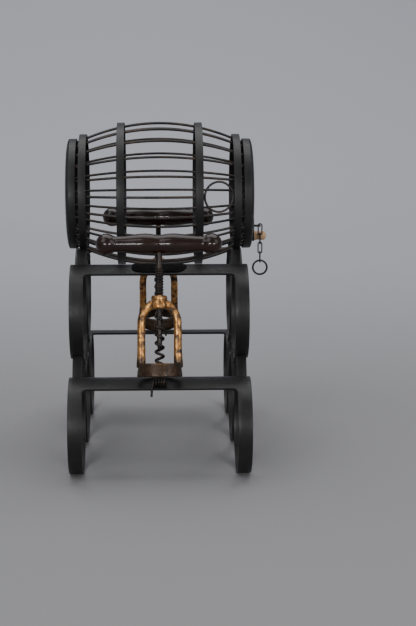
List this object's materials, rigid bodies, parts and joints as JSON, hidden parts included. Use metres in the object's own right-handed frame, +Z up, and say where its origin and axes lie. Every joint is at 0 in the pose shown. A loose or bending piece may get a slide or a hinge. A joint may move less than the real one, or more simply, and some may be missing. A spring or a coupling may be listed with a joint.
{
  "type": "wine rack",
  "caption": "Tabletop wine rack with ring cradles in a pyramid, a barrel-shaped wire cork cage with a hinged end lid, and a bell corkscrew on each sloping side.",
  "frame": {"origin": "centre of the bounding box at its lowest face, on the floor under the middle of the rack", "axes": "+Z up, bottles along X, +X towards the hinged lid with the pull ring, -Y the front with the bung hole"},
  "size_m": [0.1746, 0.28, 0.2838],
  "materials": {
    "black_steel": "satin",
    "wire": "satin",
    "dark_wood": "gloss varnish",
    "pale_wood": "matte",
    "bronze": "dark patina",
    "dark_steel": "dull"
  },
  "bodies": {
    "rack": {"front_lower_cradle": "black_steel", "rear_lower_cradle": "black_steel", "front_upper_cradle": "black_steel", "rear_upper_cradle": "black_steel", "middle_ring_left": "black_steel", "middle_ring_right": "black_steel", "end_band_left": "black_steel", "end_band_right": "black_steel", "outer_hoop_left": "black_steel", "outer_hoop_right": "black_steel", "inner_hoop_left": "black_steel", "inner_hoop_right": "black_steel", "cage_wire_01": "wire", "cage_wire_02": "wire", "cage_wire_03": "wire", "cage_wire_04": "wire", "cage_wire_05": "wire", "cage_wire_06": "wire", "cage_wire_07": "wire", "cage_wire_08": "wire", "cage_wire_09": "wire", "cage_wire_10": "wire", "cage_wire_11": "wire", "cage_wire_12": "wire", "cage_wire_13": "wire", "cage_wire_14": "wire", "cage_wire_15": "wire", "cage_wire_16": "wire", "cage_wire_17": "wire", "cage_wire_18": "wire", "cage_wire_19": "wire", "cage_wire_20": "wire", "cage_wire_21": "wire", "cage_wire_22": "wire", "cage_wire_23": "wire", "bung_ring": "wire", "left_lid": "black_steel", "hinge_fixed_leaf": "black_steel", "hinge_pin": "black_steel", "front_corkscrew_handle": "dark_wood", "front_corkscrew_spindle": "dark_steel", "front_corkscrew_bell": "bronze", "front_upper_bracket": "black_steel", "front_lower_tie": "dark_steel", "rear_corkscrew_handle": "dark_wood", "rear_corkscrew_spindle": "dark_steel", "rear_corkscrew_bell": "bronze", "rear_upper_bracket": "black_steel", "rear_lower_tie": "dark_steel"},
    "lid": {"right_lid": "black_steel", "hinge_strap": "black_steel", "pull_plate": "black_steel", "pull_staple": "black_steel", "lid_knob": "pale_wood"},
    "chain": {"pull_chain_link_1": "black_steel", "pull_chain_link_2": "black_steel", "pull_chain_link_3": "black_steel", "pull_chain_link_4": "black_steel"},
    "ring": {"pull_ring": "black_steel"}
  },
  "joints": [
    {"name": "lid_hinge", "type": "hinge", "parent": "rack", "child": "lid", "pos_m": [0.0711, 0.05085, 0.2216], "axis": [0, 0, 1], "range_deg": [0, 110]},
    {"name": "chain_swing", "type": "hinge", "parent": "lid", "child": "chain", "pos_m": [0.0803, -0.0046, 0.1936], "axis": [0, -1, 0], "range_deg": [0, 100]},
    {"name": "ring_swing", "type": "hinge", "parent": "chain", "child": "ring", "pos_m": [0.0803, -0.0046, 0.16295], "axis": [1, 0, 0], "range_deg": [-60, 60]}
  ]
}
